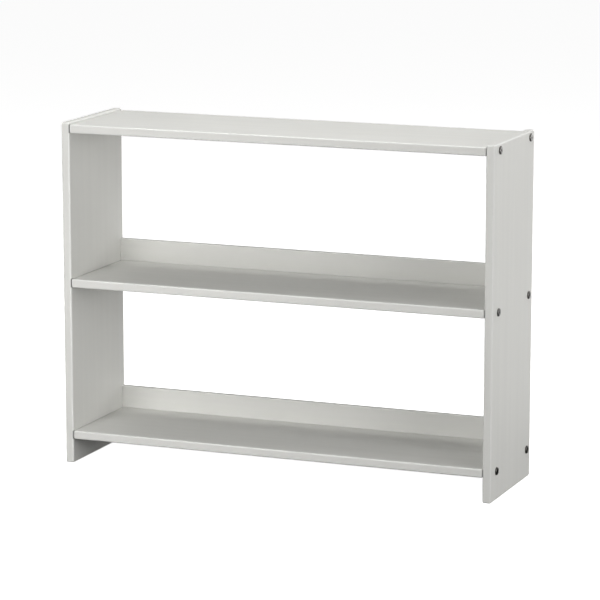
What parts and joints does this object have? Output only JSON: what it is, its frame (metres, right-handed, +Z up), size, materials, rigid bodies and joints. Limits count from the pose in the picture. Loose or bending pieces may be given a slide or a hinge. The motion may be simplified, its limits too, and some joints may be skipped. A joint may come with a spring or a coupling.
{
  "type": "desk hutch",
  "caption": "Low open desk hutch: painted side panels, flat shelves between them, low back rails on the lower shelves, dark bolt heads on the outer faces.",
  "frame": {"origin": "on the floor, under the middle of the unit's outer box", "axes": "+X along the shelves to the right as seen from the open front, +Y from the front to the rear edge with the back rails, +Z up"},
  "size_m": [0.9158, 0.248, 0.698],
  "materials": {
    "painted_board": "light warm grey satin paint over board",
    "dark_bolt": "dark pewter plating, satin",
    "zinc_fitting": "bright zinc plating",
    "dowel_wood": "bare fluted beech"
  },
  "bodies": {
    "root": {"barrel_nut_left_bottom_front": "zinc_fitting", "barrel_nut_left_bottom_rear": "zinc_fitting", "barrel_nut_left_middle_front": "zinc_fitting", "barrel_nut_left_middle_rear": "zinc_fitting", "barrel_nut_left_top_front": "zinc_fitting", "barrel_nut_left_top_rear": "zinc_fitting", "barrel_nut_right_bottom_front": "zinc_fitting", "barrel_nut_right_bottom_rear": "zinc_fitting", "barrel_nut_right_middle_front": "zinc_fitting", "barrel_nut_right_middle_rear": "zinc_fitting", "barrel_nut_right_top_front": "zinc_fitting", "barrel_nut_right_top_rear": "zinc_fitting", "bolt_left_bottom_front": "dark_bolt", "bolt_left_bottom_rear": "dark_bolt", "bolt_left_middle_front": "dark_bolt", "bolt_left_middle_rear": "dark_bolt", "bolt_left_top_front": "dark_bolt", "bolt_left_top_rear": "dark_bolt", "bolt_right_bottom_front": "dark_bolt", "bolt_right_bottom_rear": "dark_bolt", "bolt_right_middle_front": "dark_bolt", "bolt_right_middle_rear": "dark_bolt", "bolt_right_top_front": "dark_bolt", "bolt_right_top_rear": "dark_bolt", "bottom_back_rail": "painted_board", "bottom_shelf": "painted_board", "dowel_left_bottom_front": "dowel_wood", "dowel_left_bottom_rear": "dowel_wood", "dowel_left_middle_front": "dowel_wood", "dowel_left_middle_rear": "dowel_wood", "dowel_left_top_front": "dowel_wood", "dowel_left_top_rear": "dowel_wood", "dowel_right_bottom_front": "dowel_wood", "dowel_right_bottom_rear": "dowel_wood", "dowel_right_middle_front": "dowel_wood", "dowel_right_middle_rear": "dowel_wood", "dowel_right_top_front": "dowel_wood", "dowel_right_top_rear": "dowel_wood", "left_side_panel": "painted_board", "middle_back_rail": "painted_board", "middle_shelf": "painted_board", "rail_screw_bottom_1": "zinc_fitting", "rail_screw_bottom_2": "zinc_fitting", "rail_screw_bottom_3": "zinc_fitting", "rail_screw_bottom_4": "zinc_fitting", "rail_screw_middle_1": "zinc_fitting", "rail_screw_middle_2": "zinc_fitting", "rail_screw_middle_3": "zinc_fitting", "rail_screw_middle_4": "zinc_fitting", "right_side_panel": "painted_board", "top_shelf": "painted_board"}
  },
  "joints": []
}
